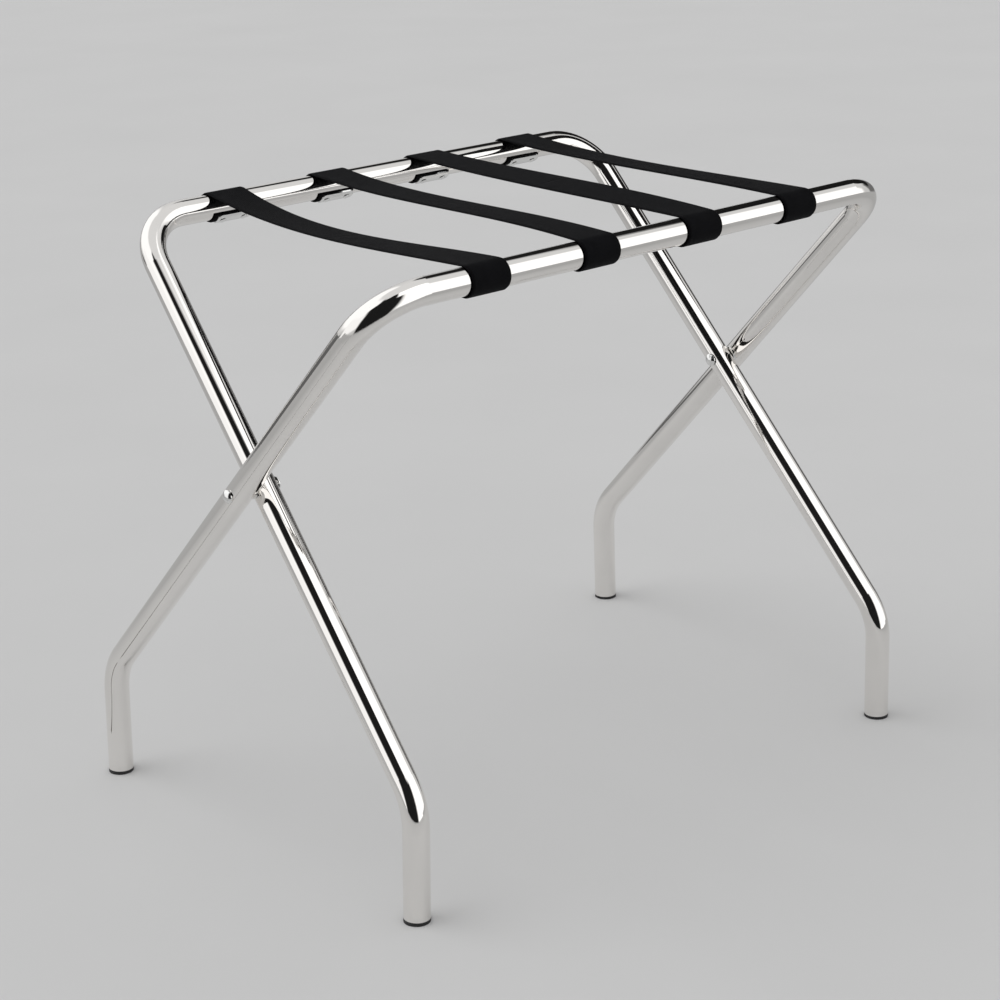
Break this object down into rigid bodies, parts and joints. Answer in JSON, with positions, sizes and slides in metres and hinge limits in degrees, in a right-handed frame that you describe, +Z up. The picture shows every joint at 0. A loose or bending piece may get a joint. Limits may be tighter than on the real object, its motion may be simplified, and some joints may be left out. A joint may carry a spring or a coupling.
{
  "type": "folding luggage rack",
  "caption": "Folding luggage rack: crossed U-shaped tube frames turn on pivot rivets, with webbing straps between the rails and plugged upright feet.",
  "frame": {"origin": "on the floor, below the middle of the open rack", "axes": "+X along the rails, +Y from the front rail to the rear rail, +Z up"},
  "size_m": [0.6242, 0.412, 0.5108],
  "materials": {
    "chromed_tube": "polished",
    "plated_steel": "polished",
    "webbing": "woven",
    "plug_plastic": "matte"
  },
  "bodies": {
    "outer_frame": {"outer_frame_tube": "chromed_tube", "foot_plug_rear_left": "plug_plastic", "foot_plug_rear_right": "plug_plastic", "pivot_rivet_left": "plated_steel", "pivot_rivet_right": "plated_steel", "pivot_spacer_left": "plated_steel", "pivot_spacer_right": "plated_steel", "strap_1_front_wrap": "webbing", "strap_2_front_wrap": "webbing", "strap_3_front_wrap": "webbing", "strap_4_front_wrap": "webbing", "clamp_1_front": "plated_steel", "clamp_2_front": "plated_steel", "clamp_3_front": "plated_steel", "clamp_4_front": "plated_steel", "clamp_rivets_front": "plated_steel"},
    "inner_frame": {"inner_frame_tube": "chromed_tube", "foot_plug_front_left": "plug_plastic", "foot_plug_front_right": "plug_plastic", "strap_1_rear_wrap": "webbing", "strap_2_rear_wrap": "webbing", "strap_3_rear_wrap": "webbing", "strap_4_rear_wrap": "webbing", "clamp_1_rear": "plated_steel", "clamp_2_rear": "plated_steel", "clamp_3_rear": "plated_steel", "clamp_4_rear": "plated_steel", "clamp_rivets_rear": "plated_steel"},
    "front_spans": {"strap_1_front_span": "webbing", "strap_2_front_span": "webbing", "strap_3_front_span": "webbing", "strap_4_front_span": "webbing"},
    "rear_spans": {"strap_1_rear_span": "webbing", "strap_2_rear_span": "webbing", "strap_3_rear_span": "webbing", "strap_4_rear_span": "webbing"}
  },
  "joints": [
    {"name": "fold", "type": "hinge", "parent": "outer_frame", "child": "inner_frame", "pos_m": [0, 0, 0.30947], "axis": [1, 0, 0], "range_deg": [0, 79.6]},
    {"name": "front_strap_swing", "type": "hinge", "parent": "outer_frame", "child": "front_spans", "pos_m": [0, -0.1755, 0.498], "axis": [1, 0, 0], "range_deg": [-51.55, 0], "deforming": ["strap_1_front_span", "strap_2_front_span", "strap_3_front_span", "strap_4_front_span"]},
    {"name": "rear_strap_swing", "type": "hinge", "parent": "inner_frame", "child": "rear_spans", "pos_m": [0, 0.1755, 0.498], "axis": [1, 0, 0], "range_deg": [0, 51.55], "deforming": ["strap_1_rear_span", "strap_2_rear_span", "strap_3_rear_span", "strap_4_rear_span"]}
  ],
  "couplings": [
    {"joint": "front_strap_swing", "follows": "fold", "ratio": -0.647},
    {"joint": "rear_strap_swing", "follows": "fold", "ratio": 0.647}
  ]
}
